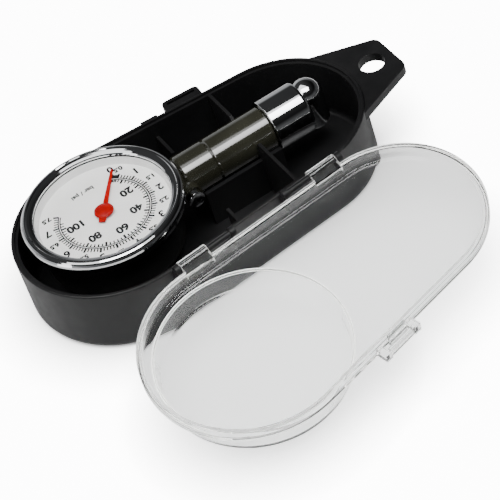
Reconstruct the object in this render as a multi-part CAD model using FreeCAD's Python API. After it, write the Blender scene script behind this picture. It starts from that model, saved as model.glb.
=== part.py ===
import FreeCAD, Part
import math
import os

# Dial tyre-pressure gauge in a hinged storage case. Millimetres, +Z up.
# Origin: underside of the case, below the centre of its large round end.
# +X runs along the case to the hanging tab, +Y to the latch side, and the lid hinges on the -Y side.
# The lid is modelled standing open against its stop, with the gauge lying in the case.

# ---- driving dimensions: case ----
LARGE_R = 31.2          # outline radius of the large end
SMALL_R = 26.4          # outline radius of the small end
CENTRE_GAP = 57.8       # distance between the two end centres
CASE_H = 22.0           # height of the rim
WALL = 2.0
FLOOR = 2.0
FOOT_R = 2.5            # rounding of the lower outside edge
RIM_LIP = 1.1           # thickness of the rim above its inner step
RIM_STEP = 0.8
TAB_TIP_X = 98.9        # outer end of the hanging tab
TAB_HOLE_X = 91.7
TAB_HOLE_R = 4.1
TAB_TOP = 21.4
TAB_T = 3.0
RIB_T = 1.0
HEAD_RIB_X = 29.0       # low rib beside the gauge's round back
HEAD_RIB_TOP = 16.2
HEAD_RIB_GAP = (-15.6, 16.9)
STEM_RIB_X = 48.3       # taller rib that the stem lies in
STEM_RIB_TOP = 21.4
RIDGE_SPAN = (27.8, 54.8)   # two ridges along the stem, on the floor
RIDGE_T = 1.4
RIDGE_TOP = 14.6
PAD_R = 12.0            # round pad under the gauge's back

# ---- driving dimensions: lid and hinge ----
HINGE_OUT = 2.4         # hinge axis outside the case wall
HINGE_Z = CASE_H + 1.1
OPEN_DEG = 188.0        # swing from closed to the hinge's stop, a few mm clear of the table
BAR_R = 1.0             # hinge bar
LID_INSET = 0.3         # lid outline inside the case outline
LID_H = 5.4             # rim plane to the flat outside of the lid
LID_T = 1.1
LID_RIM_W = 1.7         # width of the lid's rim band
CUP_R = 29.6            # bulge above the dial, at the rim
CUP_FLOOR_R = 27.6      # and at its flat outside
CUP_H = 11.5
CUP_X = 0.3
CUP_Y = 1.4

# ---- driving dimensions: gauge ----
GAUGE_X = -0.7          # dial axis
GAUGE_Y = 3.9           # dial axis and stem axis
STEM_Z = 17.5           # height of the stem axis
BEZEL_R = 25.0
BEZEL_TOP = 26.0
BEZEL_LOW = 21.9
BEZEL_OPENING_R = 21.0
SHELL_R = 21.2
SHELL_BACK = 6.0
STEM_R = 7.1
STEM_START = 24.5
COLLAR_START = 55.1
COLLAR_END = 68.0
COLLAR_R = 8.4
CHUCK_X = 70.2
CHUCK_R = 5.2
MOUTH_R = 4.0           # takes a car tyre valve, 7.7 mm over its thread
ZERO_DEG = 53.0         # pointer direction at zero, anticlockwise from +X
SWEEP_DEG = 270.0       # pointer swing to full scale, clockwise

# ---- driving dimensions: movement ----
GEAR_MODULE = 0.3
PINION_TEETH = 10
SECTOR_TEETH = 66       # teeth of the sector's full circle
SECTOR_DIR = 180.0      # direction of the sector's pivot from the dial axis
GEAR_Z = 15.0
GEAR_T = 1.2
TUBE_R = 17.4           # mean radius of the bourdon tube
RUN = 0.05              # radial clearance of every running fit

X = FreeCAD.Vector(1, 0, 0)
Y = FreeCAD.Vector(0, 1, 0)
Z = FreeCAD.Vector(0, 0, 1)


def vec(x, y, z=0.0):
    return FreeCAD.Vector(x, y, z)


def cyl(radius, height, base, axis=Z):
    return Part.makeCylinder(radius, height, base, axis)


def tube(outer, inner, height, base, axis=Z):
    """A plain ring; the bore runs past both faces so the cut is clean."""
    bore = Part.makeCylinder(inner, height + 2, base - axis * 1.0, axis)
    return Part.makeCylinder(outer, height, base, axis).cut(bore)


def box(x0, x1, y0, y1, z0, z1):
    return Part.makeBox(x1 - x0, y1 - y0, z1 - z0, vec(x0, y0, z0))


def join(first, *others):
    shape = first
    for other in others:
        shape = shape.fuse(other)
    return shape.removeSplitter()


def turned(profile, centre, axis=Z):
    """Revolves (radius, height) points round the axis line through centre."""
    points = [vec(r, 0, h) for r, h in profile]
    face = Part.Face(Part.makePolygon(points + [points[0]]))
    solid = face.revolve(vec(0, 0, 0), Z, 360)
    solid.Placement = FreeCAD.Placement(centre, FreeCAD.Rotation(Z, axis))
    return solid


def prism(points, z0, height):
    corners = [vec(x, y, z0) for x, y in points]
    return Part.Face(Part.makePolygon(corners + [corners[0]])).extrude(Z * height)


def at_angle(radius, degrees):
    """A point on a circle round the dial axis, at height 0."""
    a = math.radians(degrees)
    return vec(GAUGE_X + radius * math.cos(a), GAUGE_Y + radius * math.sin(a))


def hull_wire(inset, z):
    """The case outline moved inwards: two end arcs and the two straight sides that touch both."""
    big = LARGE_R - inset
    small = SMALL_R - inset
    lean = math.asin((LARGE_R - SMALL_R) / CENTRE_GAP)
    up = math.pi / 2 - lean

    def on(cx, r, a):
        return vec(cx + r * math.cos(a), r * math.sin(a), z)

    gap = CENTRE_GAP
    left = Part.Arc(on(0, big, up), on(0, big, math.pi), on(0, big, -up)).toShape()
    right = Part.Arc(on(gap, small, -up), on(gap, small, 0), on(gap, small, up)).toShape()
    near = Part.makeLine(on(0, big, -up), on(CENTRE_GAP, small, -up))
    far = Part.makeLine(on(CENTRE_GAP, small, up), on(0, big, up))
    return Part.Wire([left, near, right, far])


def hull_solid(inset, z0, height):
    return Part.Face(hull_wire(inset, z0)).extrude(Z * height)


def edges_at(shape, z):
    """Every edge that lies wholly at height z."""
    box_of = [(e, e.BoundBox) for e in shape.Edges]
    return [e for e, b in box_of if abs(b.ZMin - z) < 1e-4 and abs(b.ZMax - z) < 1e-4]


# ---- hinge frame: u along the near straight side, n straight out of it ----
LEAN = math.asin((LARGE_R - SMALL_R) / CENTRE_GAP)
HINGE_U = vec(math.cos(LEAN), math.sin(LEAN))
HINGE_N = vec(math.sin(LEAN), -math.cos(LEAN))
HINGE_POINT = HINGE_N * (LARGE_R + HINGE_OUT) + Z * HINGE_Z


def hinge_box(s0, s1, n0, n1, z0, z1):
    """A block in the hinge frame: s along the axis, n out of the wall measured from the case centre line."""
    block = Part.makeBox(s1 - s0, n1 - n0, z1 - z0, vec(s0, -n1, z0))
    block.rotate(vec(0, 0, 0), Z, math.degrees(LEAN))
    return block


def hinge_cyl(s0, s1, radius):
    return cyl(radius, s1 - s0, HINGE_POINT + HINGE_U * s0, HINGE_U)


def opened(shape):
    """Swings a lid shape from closed, over the hinge, to its open stop."""
    moved = shape.copy()
    moved.rotate(HINGE_POINT, HINGE_U, OPEN_DEG)
    return moved


# Each hinge: the lid's knuckle lies at the outer end of a longer bar moulded on the case.
HINGES = [
    {"bar": (1.4, 19.4), "knuckle": (1.7, 11.1)},
    {"bar": (40.2, 58.2), "knuckle": (48.4, 57.8)},
]
EAR_T = 1.6


def hinge_bars():
    """Two bars along the near side, each held between a pair of ears."""
    parts = []
    ear_out = LARGE_R + HINGE_OUT + 0.6
    for hinge in HINGES:
        s0, s1 = hinge["bar"]
        parts.append(hinge_cyl(s0 - 0.5, s1 + 0.5, BAR_R))
        for e0 in (s0 - EAR_T, s1):
            ear = join(
                hinge_cyl(e0, e0 + EAR_T, 1.7),
                hinge_box(e0, e0 + EAR_T, LARGE_R - 0.6, ear_out, CASE_H - 4.5, CASE_H - 0.1),
            )
            parts.append(ear)
    return parts


def rib_plate(x, top):
    """A plate across the case, trimmed to the inside of the wall."""
    inside = hull_solid(WALL - 0.3, FLOOR - 0.5, top - FLOOR + 0.5)
    span = box(x - RIB_T / 2, x + RIB_T / 2, -LARGE_R, LARGE_R, FLOOR - 0.5, top)
    return span.common(inside)


def head_rib():
    """The lower cross rib, with an open middle that clears the gauge's round back."""
    gap = box(HEAD_RIB_X - 2, HEAD_RIB_X + 2, *HEAD_RIB_GAP, FLOOR - 1, HEAD_RIB_TOP + 1)
    return rib_plate(HEAD_RIB_X, HEAD_RIB_TOP).cut(gap)


def stem_rib():
    """The taller cross rib, with a round-bottomed notch that the stem lies in."""
    x, top = STEM_RIB_X, STEM_RIB_TOP
    span = rib_plate(x, top)
    half = STEM_R + 0.1
    notch = cyl(half, 4, vec(x - 2, GAUGE_Y, STEM_Z), X)
    slot = box(x - 2, x + 2, GAUGE_Y - half, GAUGE_Y + half, STEM_Z, top + 1)
    flare = 1.2
    mouth = [
        (GAUGE_Y - half - flare, top + 0.01),
        (GAUGE_Y + half + flare, top + 0.01),
        (GAUGE_Y + half, top - flare),
        (GAUGE_Y - half, top - flare),
    ]
    corners = [vec(x - 2, y, z) for y, z in mouth]
    chamfer = Part.Face(Part.makePolygon(corners + [corners[0]])).extrude(X * 4)
    return span.cut(notch).cut(slot).cut(chamfer)


def hanging_tab():
    """A trapezoid plate at rim height with rounded corners and one hole."""
    root_x = CENTRE_GAP + SMALL_R - 9
    root_half = 18.0
    tip_half = 8.3
    corner = 3.0
    plate = prism(
        [(root_x, -root_half), (TAB_TIP_X, -tip_half), (TAB_TIP_X, tip_half), (root_x, root_half)],
        TAB_TOP - TAB_T, TAB_T,
    )
    upright = [e for e in plate.Edges if e.BoundBox.ZLength > TAB_T - 0.1 and e.BoundBox.XMin > TAB_TIP_X - 1]
    plate = plate.makeFillet(corner, upright)
    plate = plate.makeFillet(0.4, edges_at(plate, TAB_TOP))
    return plate


def strap_loop():
    """A slotted bar standing out of the latch side, at the rim."""
    s0, s1, reach, low, high = 32.3, 44.7, 4.4, 18.9, 21.7
    plate = box(s0, s1, LARGE_R - 1.2, LARGE_R + reach, low, high)
    upright = [e for e in plate.Edges if e.BoundBox.ZLength > 2 and e.BoundBox.YMin > LARGE_R + 1]
    plate = plate.makeFillet(1.6, upright)
    slot = box(s0 + 1.5, s1 - 1.5, LARGE_R + 2.2, LARGE_R + 3.2, low - 1, high + 1)
    loop = plate.cut(slot)
    loop.rotate(vec(0, 0, 0), Z, -math.degrees(LEAN))
    return loop


def latch_nub():
    """The small bead that the lid's latch snaps under."""
    nub = box(23.6, 29.2, LARGE_R - 1, LARGE_R + 0.9, 19.9, 21.9)
    lower = [e for e in nub.Edges if abs(e.BoundBox.YMin - LARGE_R - 0.9) < 1e-4]
    nub = nub.makeFillet(0.5, lower)
    nub.rotate(vec(0, 0, 0), Z, -math.degrees(LEAN))
    return nub


def case_tub():
    outer = hull_solid(0, 0, CASE_H)
    outer = outer.makeFillet(FOOT_R, edges_at(outer, 0))
    outer = outer.makeFillet(0.5, edges_at(outer, CASE_H))
    body = join(outer, hanging_tab(), strap_loop(), latch_nub(), *hinge_bars())
    hollow = hull_solid(WALL, FLOOR, CASE_H)
    hollow = hollow.makeFillet(1.6, edges_at(hollow, FLOOR))
    body = body.cut(hollow).cut(hull_solid(RIM_LIP, CASE_H - RIM_STEP, 1))
    body = body.cut(cyl(TAB_HOLE_R, 30, vec(TAB_HOLE_X, 0, 0)))
    stem_room = cyl(STEM_R + 0.1, 40, vec(20, GAUGE_Y, STEM_Z), X)
    ridge_in = STEM_R - 0.1
    ridges = []
    for low_y in (GAUGE_Y - ridge_in - RIDGE_T, GAUGE_Y + ridge_in):
        ridge = box(*RIDGE_SPAN, low_y, low_y + RIDGE_T, FLOOR - 0.5, RIDGE_TOP)
        ridges.append(ridge.cut(stem_room))
    pad = tube(PAD_R, PAD_R - 1.4, SHELL_BACK - FLOOR + 0.45, vec(GAUGE_X, GAUGE_Y, FLOOR - 0.5))
    return join(body, head_rib(), stem_rib(), *ridges, pad)


def lid_shell():
    """The closed lid: a shallow dish on the rim and a deep round bulge over the dial."""
    rim = CASE_H + 0.05
    outer = hull_solid(LID_INSET, rim, LID_H)
    outer = outer.makeFillet(2.8, edges_at(outer, rim + LID_H))
    inner = hull_solid(LID_INSET + LID_RIM_W, rim - 1, LID_H - LID_T + 1)
    inner = inner.makeFillet(1.8, edges_at(inner, rim + LID_H - LID_T))
    centre = vec(CUP_X, CUP_Y, rim)
    cup = Part.makeCone(CUP_R, CUP_FLOOR_R, CUP_H, centre)
    cup = cup.makeFillet(1.2, edges_at(cup, rim + CUP_H))
    cup = cup.common(hull_solid(LID_INSET, rim, CUP_H + 1))
    room_h = CUP_H - LID_T
    room_r = CUP_R - (CUP_R - CUP_FLOOR_R) * room_h / CUP_H - LID_T
    room = Part.makeCone(CUP_R - LID_T, room_r, room_h, centre)
    room = room.makeFillet(0.8, edges_at(room, rim + CUP_H - LID_T))
    room = room.common(hull_solid(LID_INSET + LID_RIM_W - 0.2, rim, CUP_H + 1))
    return outer.fuse(cup).cut(inner).cut(room)


def lid_knuckles():
    solids = []
    for hinge in HINGES:
        s0, s1 = hinge["knuckle"]
        arm = hinge_box(s0, s1, LARGE_R - 1.4, LARGE_R + HINGE_OUT, CASE_H + 0.05, HINGE_Z + 1.9)
        solids.append(join(arm, hinge_cyl(s0, s1, 1.9)))
    return solids


def lid_latch():
    """A thumb ledge with two end ribs, and a short hook that hangs outside the bead."""
    low = CASE_H + 0.05
    mid = 26.1
    ledge = box(mid - 7.0, mid + 7.0, LARGE_R - 1.5, LARGE_R + 3.4, low + 0.6, low + 1.8)
    bar = box(mid - 5.0, mid + 5.0, LARGE_R + 2.4, LARGE_R + 3.4, low - 0.4, low + 2.6)
    rib_starts = (mid - 7.0, mid + 4.8)
    ribs = [box(s, s + 2.2, LARGE_R - 1.0, LARGE_R + 3.6, low + 0.2, low + 3.0) for s in rib_starts]
    hook = box(mid - 3.4, mid + 3.4, LARGE_R + 1.1, LARGE_R + 2.0, CASE_H - 3.4, low + 1.0)
    catch = box(mid - 3.4, mid + 3.4, LARGE_R + 1.0, LARGE_R + 1.6, CASE_H - 3.4, CASE_H - 2.4)
    latch = join(ledge, bar, hook, catch, *ribs)
    latch.rotate(vec(0, 0, 0), Z, -math.degrees(LEAN))
    return latch


def case_lid():
    lid = join(lid_shell(), lid_latch(), *lid_knuckles())
    for hinge in HINGES:
        s0, s1 = hinge["knuckle"]
        lid = lid.cut(hinge_cyl(s0 - 1, s1 + 1, BAR_R + RUN))
    return opened(lid)


# ---- gauge head ----
HEAD = vec(GAUGE_X, GAUGE_Y, 0)
NECK_R = 3.2
NECK_END = GAUGE_X + 19.0
LENS_LOW = 23.6
LENS_T = 1.0
LENS_R = 23.1
DIAL_LOW = 20.8
DIAL_R = 20.95
DIAL_T = 0.5


def gauge_shell():
    """The pressed can: rounded back, a step out below the dial, and a flange the bezel is crimped on."""
    wall = 1.2
    step = DIAL_LOW - 0.6
    can = turned([
        (0, SHELL_BACK), (SHELL_R, SHELL_BACK), (SHELL_R, step - 0.8), (SHELL_R + 1, step),
        (SHELL_R + 1, BEZEL_LOW), (23.2, BEZEL_LOW), (23.2, BEZEL_LOW + 0.7), (0, BEZEL_LOW + 0.7),
    ], HEAD)
    can = can.makeFillet(4.0, edges_at(can, SHELL_BACK))
    floor = SHELL_BACK + wall
    room = cyl(SHELL_R - wall, DIAL_LOW - floor + 1, HEAD + Z * floor)
    room = room.makeFillet(3.0, edges_at(room, floor))
    dial_seat = cyl(DIAL_R + 0.02, 4, HEAD + Z * DIAL_LOW)
    neck_hole = cyl(NECK_R + 0.02, 10, vec(GAUGE_X + 17, GAUGE_Y, STEM_Z), X)
    return can.cut(room).cut(dial_seat).cut(neck_hole)


def quarter(r0, z0, dr, dz, start_deg):
    """Points clockwise round a quarter of an ellipse centred on radius r0 and height z0."""
    points = []
    for step in range(7):
        a = math.radians(start_deg - 15 * step)
        points.append((r0 + dr * math.cos(a), z0 + dz * math.sin(a)))
    return points


def bezel_ring():
    """A rolled ring: a full round outer roll, a shallow groove, then a smooth slope down to the lens."""
    low, top = BEZEL_LOW, BEZEL_TOP
    lip = LENS_LOW + LENS_T + 0.02
    opening, crimp, bore = BEZEL_OPENING_R, LENS_R - 0.2, LENS_R + 0.15
    roll = quarter(BEZEL_R - 1.9, top - 2.2, 1.9, 2.2, 90)
    slope = [
        (opening, lip + 0.45), (opening + 0.25, lip + 0.75), (opening + 0.9, lip + 1.0),
        (opening + 1.6, top - 0.22), (opening + 1.85, top - 0.22),
    ]
    skirt = [
        (BEZEL_R - 0.15, low + 0.7), (BEZEL_R - 0.9, low - 0.2), (BEZEL_R - 1.5, low - 0.6),
        (crimp, low - 0.6), (crimp, low - 0.03), (bore, low - 0.03), (bore, lip), (opening, lip),
    ]
    return turned(slope + roll + skirt, HEAD)


def lens():
    disc = cyl(LENS_R, LENS_T, HEAD + Z * LENS_LOW)
    return disc.makeFillet(0.2, edges_at(disc, LENS_LOW + LENS_T))


def lens_gasket():
    return tube(LENS_R, LENS_R - 1.5, LENS_LOW - BEZEL_LOW - 0.7, HEAD + Z * (BEZEL_LOW + 0.7))


def dial_surround():
    """The pale sloping ring between the lens and the dial."""
    low = DIAL_LOW + DIAL_T
    high = LENS_LOW - 0.02
    return turned([(DIAL_R, low), (DIAL_R, high), (20.7, high), (20.1, low)], HEAD)


def dial_plate():
    return tube(DIAL_R, 1.2, DIAL_T, HEAD + Z * DIAL_LOW)


# ---- movement ----
def involute_outline(teeth, clearance_turn, first, last):
    """Tooth points round a gear's circle, from tooth number first to last, tooth 0 centred on 0 degrees."""
    pitch_r = GEAR_MODULE * teeth / 2
    base_r = pitch_r * math.cos(math.radians(20))
    tip_r = pitch_r + 0.8 * GEAR_MODULE
    root_r = pitch_r - 1.1 * GEAR_MODULE
    half = math.pi / (2 * teeth) - clearance_turn / pitch_r

    def roll(r):
        if r <= base_r:
            return 0.0
        a = math.acos(base_r / r)
        return math.tan(a) - a

    centre_roll = roll(pitch_r)
    start_r = max(root_r, base_r)
    radii = [start_r + (tip_r - start_r) * k / 4 for k in range(5)]
    points = []
    for tooth in range(first, last + 1):
        mid = 2 * math.pi * tooth / teeth
        flank = [(r, half + centre_roll - roll(r)) for r in radii]
        side = [(root_r, half + centre_roll)] + flank if root_r < start_r else flank
        points += [(r * math.cos(mid - a), r * math.sin(mid - a)) for r, a in side]
        points += [(r * math.cos(mid + a), r * math.sin(mid + a)) for r, a in reversed(side)]
    return points


SECTOR_REACH = GEAR_MODULE * (PINION_TEETH + SECTOR_TEETH) / 2
SECTOR_PIVOT = at_angle(SECTOR_REACH, SECTOR_DIR)
TAIL_R = 3.2
TAIL_DEG = -60.0
TAIL_PIN = SECTOR_PIVOT + at_angle(TAIL_R, TAIL_DEG) - at_angle(0, 0)
TIP_PIN = at_angle(14.2, 110.0)


def pointer_arbor():
    """The pinion and its spindle, from the lower plate up through the dial."""
    teeth = involute_outline(PINION_TEETH, 0.02, 0, PINION_TEETH - 1)
    half_tooth = 180.0 / PINION_TEETH
    pinion = prism(teeth, GEAR_Z - 0.3, GEAR_T + 0.6)
    pinion.rotate(vec(0, 0, 0), Z, half_tooth + SECTOR_DIR)
    pinion.translate(HEAD)
    spindle = cyl(0.6, HUB_TOP - 0.52 - 8.2, HEAD + Z * 8.2)
    collet = cyl(1.0, 0.7, HEAD + Z * 17.3)
    return join(pinion, spindle, collet)


SECTOR_FIRST = -math.ceil(SWEEP_DEG * PINION_TEETH / 360.0)  # enough teeth for the whole swing
SECTOR_LAST = 1


def sector_gear():
    """A fan of teeth on a slim arm, with a short tail that the link pulls. Its spindle is one with it."""
    tooth_deg = 360.0 / SECTOR_TEETH
    fan = involute_outline(SECTOR_TEETH, 0.02, SECTOR_FIRST, SECTOR_LAST)
    low_a = math.radians(tooth_deg * (SECTOR_FIRST - 0.5))
    high_a = math.radians(tooth_deg * (SECTOR_LAST + 0.5))
    inner = 7.6
    fan = fan + [(inner * math.cos(high_a), inner * math.sin(high_a)), (1.2, 1.2), (-0.6, 1.4), (-1.2, -0.6)]
    fan = fan + [(0.6, -1.4), (inner * math.cos(low_a), inner * math.sin(low_a))]
    blade = prism(fan, GEAR_Z, GEAR_T)
    blade.rotate(vec(0, 0, 0), Z, SECTOR_DIR + 180.0)
    blade.translate(SECTOR_PIVOT)
    boss = cyl(1.6, GEAR_T + 0.8, SECTOR_PIVOT + Z * (GEAR_Z - 0.4))
    spindle = cyl(0.6, 19.8 - 8.2, SECTOR_PIVOT + Z * 8.2)
    outward = (TAIL_PIN - SECTOR_PIVOT).normalize()
    side = vec(-outward.y, outward.x)
    root, end = side * 1.1, side * 0.9
    ends = [SECTOR_PIVOT + root, SECTOR_PIVOT - root, TAIL_PIN - end, TAIL_PIN + end]
    tail = prism([(p.x, p.y) for p in ends], GEAR_Z, GEAR_T)
    tail_end = cyl(0.9, GEAR_T, TAIL_PIN + Z * GEAR_Z)
    pin = cyl(0.4, 1.0, TAIL_PIN + Z * (GEAR_Z + GEAR_T))
    return join(blade, boss, spindle, tail, tail_end, pin)


LINK_LOW = GEAR_Z + GEAR_T + 0.15


def tip_link():
    """The flat link from the sector's tail to the tip of the bourdon tube."""
    along = (TIP_PIN - TAIL_PIN).normalize()
    side = vec(-along.y, along.x) * 0.5
    ends = [TAIL_PIN + side, TAIL_PIN - side, TIP_PIN - side, TIP_PIN + side]
    strip = prism([(p.x, p.y) for p in ends], LINK_LOW, 0.5)
    eyes = [cyl(0.95, 0.5, p + Z * LINK_LOW) for p in (TAIL_PIN, TIP_PIN)]
    rivet = cyl(0.6, 0.4, TIP_PIN + Z * (LINK_LOW + 0.5))
    link = join(strip, rivet, *eyes)
    return link.cut(cyl(0.4 + RUN, 3, TAIL_PIN + Z * (LINK_LOW - 1)))


PLATE_R = 13.2
PILLARS = [(7.0, 9.5), (7.0, -9.5), (-9.0, -9.5)]
LOWER_Z = 8.0
UPPER_Z = 18.9
PLATE_T = 1.0


def movement_plate(z):
    plate = cyl(PLATE_R, PLATE_T, HEAD + Z * z)
    plate = plate.cut(box(12.4, 30, -30, 30, z - 1, z + 2))
    for centre in (HEAD, SECTOR_PIVOT):
        plate = plate.cut(cyl(0.6 + RUN, 4, centre + Z * (z - 1)))
    for px, py in PILLARS:
        plate = plate.cut(cyl(0.7, 4, HEAD + vec(px, py, z - 1)))
    return plate


def movement_lower_plate():
    z = LOWER_Z
    foot = box(GAUGE_X + 11, GAUGE_X + 18.4, GAUGE_Y - 3.6, GAUGE_Y + 3.6, z, z + PLATE_T)
    plate = join(movement_plate(z), foot)
    for dy in (-2.0, 2.0):
        plate = plate.cut(cyl(0.7, 4, vec(GAUGE_X + 16.4, GAUGE_Y + dy, z - 1)))
    return plate


def movement_upper_plate():
    return movement_plate(UPPER_Z)


def movement_pillars():
    """Three turned pillars between the plates, tapped at both ends."""
    low = LOWER_Z + PLATE_T
    height = UPPER_Z - low
    posts = []
    for px, py in PILLARS:
        post = cyl(1.5, height, HEAD + vec(px, py, low))
        post = post.cut(cyl(0.6, height + 2, HEAD + vec(px, py, low - 1)))
        posts.append(post)
    return Part.makeCompound(posts)


def screw(base, down):
    """A small slotted cheese-head screw; its head lies on the far side of base from the shank."""
    head = cyl(1.2, 0.7, base, down * -1.0)
    shank = cyl(0.58, 3.0, base, down)
    head_face = base.z - 0.7 * down.z
    slot = box(base.x - 1.5, base.x + 1.5, base.y - 0.18, base.y + 0.18, head_face - 0.3, head_face + 0.3)
    return head.fuse(shank).cut(slot)


def movement_screws():
    heads = [screw(HEAD + vec(px, py, UPPER_Z + PLATE_T), Z * -1) for px, py in PILLARS]
    heads += [screw(HEAD + vec(px, py, LOWER_Z), Z) for px, py in PILLARS]
    heads += [screw(vec(GAUGE_X + 16.4, GAUGE_Y + dy, LOWER_Z), Z) for dy in (-2.0, 2.0)]
    return Part.makeCompound(heads)


def hairspring():
    """A flat spiral from the arbor's collet out to a stud under the upper plate."""
    turns, inner, outer, height = 4, 1.08, 4.6, 0.5
    steps = 24 * turns
    points = []
    for k in range(steps + 1):
        r = inner + (outer - inner) * k / steps
        a = 2 * math.pi * turns * k / steps
        points.append((r, a))
    half = 0.06
    outline = [((r + half) * math.cos(a), (r + half) * math.sin(a)) for r, a in points]
    outline += [((r - half) * math.cos(a), (r - half) * math.sin(a)) for r, a in reversed(points)]
    spiral = prism(outline, 17.4, height)
    spiral.translate(HEAD)
    stud = cyl(0.45, UPPER_Z - 17.3, HEAD + vec(outer, 0, 17.3))
    return join(spiral, stud)


TUBE_LOW = 10.4
TUBE_H = 6.0
TUBE_W = 3.0
TUBE_START = -15.0
TUBE_SPAN = 232.0


def bourdon_tube():
    """The flattened tube, bent to a C and hollow, open at its socket end."""
    def section(width, height, low):
        r = width / 2
        x0 = TUBE_R
        a = Part.Arc(vec(x0 + r, 0, low + r), vec(x0, 0, low), vec(x0 - r, 0, low + r)).toShape()
        b = Part.makeLine(vec(x0 - r, 0, low + r), vec(x0 - r, 0, low + height - r))
        c = Part.Arc(
            vec(x0 - r, 0, low + height - r), vec(x0, 0, low + height), vec(x0 + r, 0, low + height - r)
        ).toShape()
        d = Part.makeLine(vec(x0 + r, 0, low + height - r), vec(x0 + r, 0, low + r))
        return Part.Face(Part.Wire([a, b, c, d]))

    wall = 0.5
    outer = section(TUBE_W, TUBE_H, TUBE_LOW).revolve(vec(0, 0, 0), Z, -TUBE_SPAN)
    inner = section(TUBE_W - 2 * wall, TUBE_H - 2 * wall, TUBE_LOW + wall)
    inner = inner.revolve(vec(0, 0, 0), Z, -TUBE_SPAN)
    shape = outer.cut(inner)
    shape.rotate(vec(0, 0, 0), Z, TUBE_START)
    shape.translate(HEAD)
    return shape


def tube_tip():
    """The plug soldered in the tube's free end, with a lug reaching in under the link."""
    end = TUBE_START - TUBE_SPAN
    plug = box(TUBE_R - 1.7, TUBE_R + 1.7, -2.4, 0, TUBE_LOW - 0.1, TUBE_LOW + TUBE_H - 0.3)
    plug.rotate(vec(0, 0, 0), Z, end)
    plug.translate(HEAD)
    lug_top = LINK_LOW - 0.3
    start = at_angle(TUBE_R - 1.2, end - 4)
    along = (TIP_PIN - start).normalize()
    side = vec(-along.y, along.x) * 0.9
    ends = [start + side, start - side, TIP_PIN - side, TIP_PIN + side]
    lug = prism([(p.x, p.y) for p in ends], lug_top - 1.0, 1.0)
    eye = cyl(0.9, 1.0, TIP_PIN + Z * (lug_top - 1.0))
    return join(plug, lug, eye)


def bourdon_socket():
    """The brass block that joins the stem's neck to the tube and carries the movement."""
    low = LOWER_Z + PLATE_T
    block = box(GAUGE_X + 13.4, NECK_END, GAUGE_Y - 4.0, GAUGE_Y + 4.0, low, 20.4)
    block = block.cut(cyl(1.2, 7, vec(GAUGE_X + 14.6, GAUGE_Y, STEM_Z), X))
    tongue = box(TUBE_R - 2.0, TUBE_R + 2.0, 0, 3.0, TUBE_LOW - 0.5, TUBE_LOW + TUBE_H + 0.5)
    tongue.rotate(vec(0, 0, 0), Z, TUBE_START)
    tongue.translate(HEAD)
    tongue = tongue.common(box(0, NECK_END, GAUGE_Y - 8, GAUGE_Y, low, 20.4))
    body = join(block, tongue)
    for dy in (-2.0, 2.0):
        body = body.cut(cyl(0.58, 4, vec(GAUGE_X + 16.4, GAUGE_Y + dy, low - 1)))
    duct = box(TUBE_R - 0.6, TUBE_R + 0.6, -2, 2.2, 12.6, 14.2)
    duct.rotate(vec(0, 0, 0), Z, TUBE_START)
    duct.translate(HEAD)
    return body.cut(duct)


# ---- pointer ----
POINTER_Z = 22.0
NEEDLE_T = 0.3
HUB_R = 3.0
HUB_FOOT_R = 2.2
HUB_GROOVE_R = 1.2
NEEDLE_LENGTH = 17.2
TAIL_LENGTH = 4.4
HUB_LOW = 21.6
HUB_TOP = 23.3


def pointer_needle():
    """A tapered arm with a short counterweight tail."""
    tip, tail = NEEDLE_LENGTH, -TAIL_LENGTH
    shoulder = tip - 0.7
    outline = [(tail, -1.0), (-1.5, -1.3), (1.5, -1.3), (3.0, -0.75), (shoulder, -0.38), (tip, 0)]
    outline += [(shoulder, 0.38), (3.0, 0.75), (1.5, 1.3), (-1.5, 1.3), (tail, 1.0)]
    blade = prism(outline, POINTER_Z, NEEDLE_T)
    blade = blade.cut(cyl(HUB_GROOVE_R, 2, vec(0, 0, POINTER_Z - 1)))
    blade.rotate(vec(0, 0, 0), Z, ZERO_DEG)
    blade.translate(HEAD)
    return blade


def pointer_hub():
    """The domed boss pressed on the arbor; the needle is held in a groove under the dome."""
    low, mid, top = HUB_LOW, POINTER_Z, HUB_TOP
    brow = top - 0.9
    dome = []
    for degrees in range(0, 90, 15):
        a = math.radians(degrees)
        dome.append((HUB_R * math.cos(a), brow + (top - brow) * math.sin(a)))
    foot, groove = HUB_FOOT_R, HUB_GROOVE_R
    profile = [(0.6, low), (foot, low), (foot, mid), (groove, mid), (groove, mid + NEEDLE_T)]
    profile += [(HUB_R, mid + NEEDLE_T)] + dome + [(0, top), (0, top - 0.5), (0.6, top - 0.5)]
    return turned(profile, HEAD)


# ---- stem ----
SPIGOT_R = 4.6
SPIGOT_END = 64.6
BORE_R = 1.5
VALVE_ROOM_R = 2.9
VALVE_ROOM_X = 50.0
SEAT_X = 55.0
BUTTON_X = 23.9
BUTTON_HOUSING_R = 3.2
BUTTON_R = 2.6
BUTTON_DISH_R = 4.2     # sphere that hollows the button's face
BUTTON_FACE_Y = GAUGE_Y - 11.4
HOUSING_FACE_Y = GAUGE_Y - 8.8
POCKET_Y = GAUGE_Y - 2.6
PLUNGER_R = 0.9
GROOVE_X = 35.1
ORING_X = 57.6
CLIP_X = 61.6


def along_x(r, x0, x1):
    """A round bar on the stem's axis."""
    return cyl(r, x1 - x0, vec(x0, GAUGE_Y, STEM_Z), X)


def across(r, y0, y1):
    """A round bar on the release button's axis, from y1 down to y0."""
    return cyl(r, y1 - y0, vec(BUTTON_X, y1, STEM_Z), Y * -1)


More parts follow.
